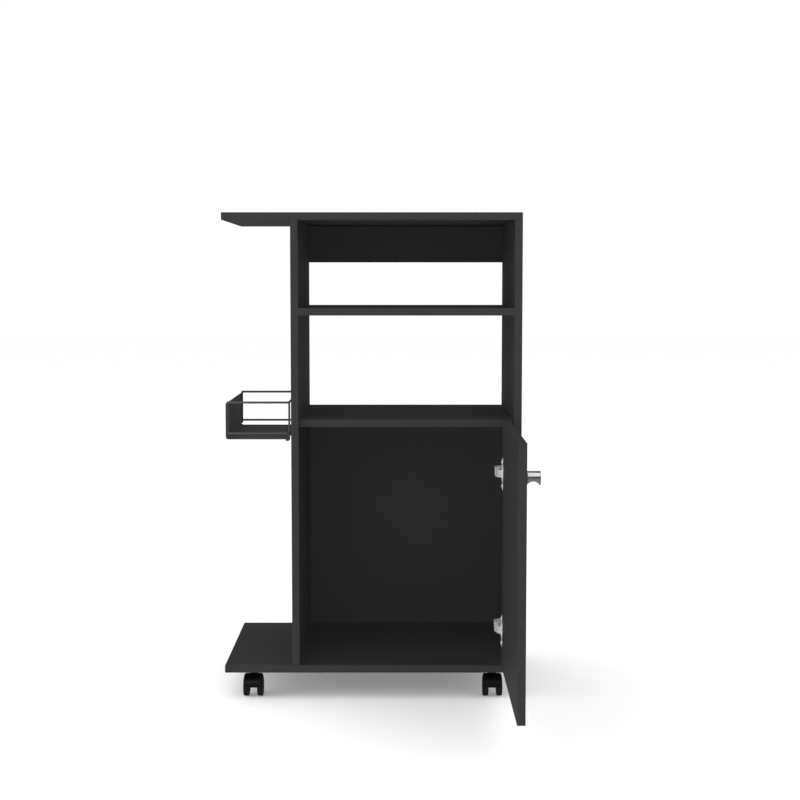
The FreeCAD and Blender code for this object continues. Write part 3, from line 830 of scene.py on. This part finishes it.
bpy.ops.mesh.primitive_plane_add(size=floor_size, location=(0, 0, 0))
floor = bpy.context.object
floor.name = "studio_floor"
# Painted studio floor: an almost white, fully matt ground that takes soft shadows.
material, tree = blank_material("pale studio floor")
place = add_node(tree, "TexCoord")
mottle = blotches(tree, place.outputs["Object"], floor_mottle_mm)
shade = add_node(tree, "ValToRGB", links={"Fac": mottle})
shade.color_ramp.elements[0].color = linear("#fbfbfb")
shade.color_ramp.elements[1].color = linear("#fefefe")
surface = add_node(
    tree, "BsdfPrincipled", {"Roughness": 0.95}, {"Base Color": shade.outputs["Color"]}
)
add_node(tree, "OutputMaterial", links={"Surface": surface.outputs["BSDF"]})
floor.data.materials.append(material)
floor.visible_glossy = False

# What mirrors and sheens see of the walls: a place from straight down, 0, to
# straight up, 1, and the grey there. The first two are the ends of the ramp.
wall_stops = (
    (0.0, 0.34),
    (1.0, 0.12),
    (0.38, 0.24),
    (0.47, 0.08),
    (0.6, 0.03),
    (0.7, 0.1),
)
front_glow_level = 0.13
# The overhead softbox leans forward and fades out between two angles off its axis.
softbox_lean = math.radians(20)
softbox_axis = (0, -math.sin(softbox_lean), math.cos(softbox_lean))
softbox_edge = math.cos(math.radians(40))
softbox_full = math.cos(math.radians(33))
softbox_level = 1.7
# Matt surfaces see an even white room, and only the camera sees the bare backdrop.
even_light = 1.05
backdrop_white = 1.0

world = bpy.data.worlds.new("studio surround")
bpy.context.scene.world = world
world.use_nodes = True
tree = world.node_tree
tree.nodes.clear()
direction = add_node(tree, "TexCoord")
parts = add_node(tree, "SeparateXYZ", links={"Vector": direction.outputs["Generated"]})
height = add_node(
    tree, "MapRange", {"From Min": -1.0, "From Max": 1.0}, {"Value": parts.outputs["Z"]}
)
walls = add_node(tree, "ValToRGB", links={"Fac": height.outputs["Result"]})
for index, (where, grey) in enumerate(wall_stops):
    if index < 2:
        stop = walls.color_ramp.elements[index]
    else:
        stop = walls.color_ramp.elements.new(where)
    stop.color = (grey, grey, grey, 1)
front_glow = add_node(
    tree,
    "MapRange",
    {"From Max": -1.0, "To Max": front_glow_level},
    {"Value": parts.outputs["Y"]},
)
room = add_node(
    tree,
    "Math",
    {"operation": "ADD"},
    {0: walls.outputs["Color"], 1: front_glow.outputs["Result"]},
)
to_softbox = add_node(
    tree,
    "VectorMath",
    {"operation": "DOT_PRODUCT", 1: softbox_axis},
    {0: direction.outputs["Generated"]},
)
softbox = add_node(
    tree,
    "MapRange",
    {"From Min": softbox_edge, "From Max": softbox_full, "To Max": softbox_level},
    {"Value": to_softbox.outputs["Value"]},
)
mirrored = add_node(
    tree,
    "Math",
    {"operation": "MAXIMUM"},
    {0: room.outputs[0], 1: softbox.outputs["Result"]},
)
rays = add_node(tree, "LightPath")
lit = add_node(
    tree,
    "Mix",
    {"data_type": "FLOAT", number_a: even_light},
    {mix_factor: rays.outputs["Is Glossy Ray"], number_b: mirrored.outputs[0]},
)
seen = add_node(
    tree,
    "Mix",
    {"data_type": "FLOAT", number_b: backdrop_white},
    {mix_factor: rays.outputs["Is Camera Ray"], number_a: lit.outputs[mixed_number]},
)
sky = add_node(
    tree,
    "Background",
    {"Color": (1, 1, 1, 1)},
    {"Strength": seen.outputs[mixed_number]},
)
add_node(tree, "OutputWorld", links={"Surface": sky.outputs["Background"]})

cart_middle = Vector((0, 0, 0.5))


def lamp(name, power, size, spot, shadow):
    """A square soft lamp facing the cart: power in watts, side and spot in metres."""
    light = bpy.data.lights.new(name, "AREA")
    light.energy = power
    light.size = size
    light.use_shadow = shadow
    stand = bpy.data.objects.new(name, light)
    bpy.context.collection.objects.link(stand)
    stand.location = spot
    stand.rotation_mode = "QUATERNION"
    stand.rotation_quaternion = (cart_middle - Vector(spot)).to_track_quat("-Z", "Y")
    stand.visible_glossy = False
    return stand


lamp("front_lamp", 9, 2.4, (-0.6, -4.2, 1.5), shadow=True)
lamp("left_lamp", 42, 2.0, (-3.4, -0.9, 1.2), shadow=True)
left_fill = lamp("left_fill", 46, 2.0, (-3.3, -0.9, 0.8), shadow=False)
left_fill.data.color = (1, 0.97, 0.92)
lamp("right_fill", 38, 2.0, (3.3, -0.9, 0.8), shadow=False)
lamp("top_fill", 12, 2.0, (0, -0.6, 3.6), shadow=False)
lamp("front_fill", 3, 2.0, (0, -3.4, 0.6), shadow=False)

# The camera's place is from the worktop's front left corner and the floor.
camera_right = 0.3557
camera_back = 3.0518
camera_height = 0.8528
camera_tilt_down = 4.51

camera = bpy.data.cameras.new("camera")
camera.lens = 68.74
camera_stand = bpy.data.objects.new("camera", camera)
bpy.context.collection.objects.link(camera_stand)
worktop_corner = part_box("top_panel")[0]
camera_stand.location = (
    worktop_corner.x + camera_right,
    worktop_corner.y - camera_back,
    camera_height,
)
camera_stand.rotation_euler = (math.radians(90 - camera_tilt_down), 0, 0)
bpy.context.scene.camera = camera_stand
bpy.context.scene.view_settings.view_transform = "Standard"
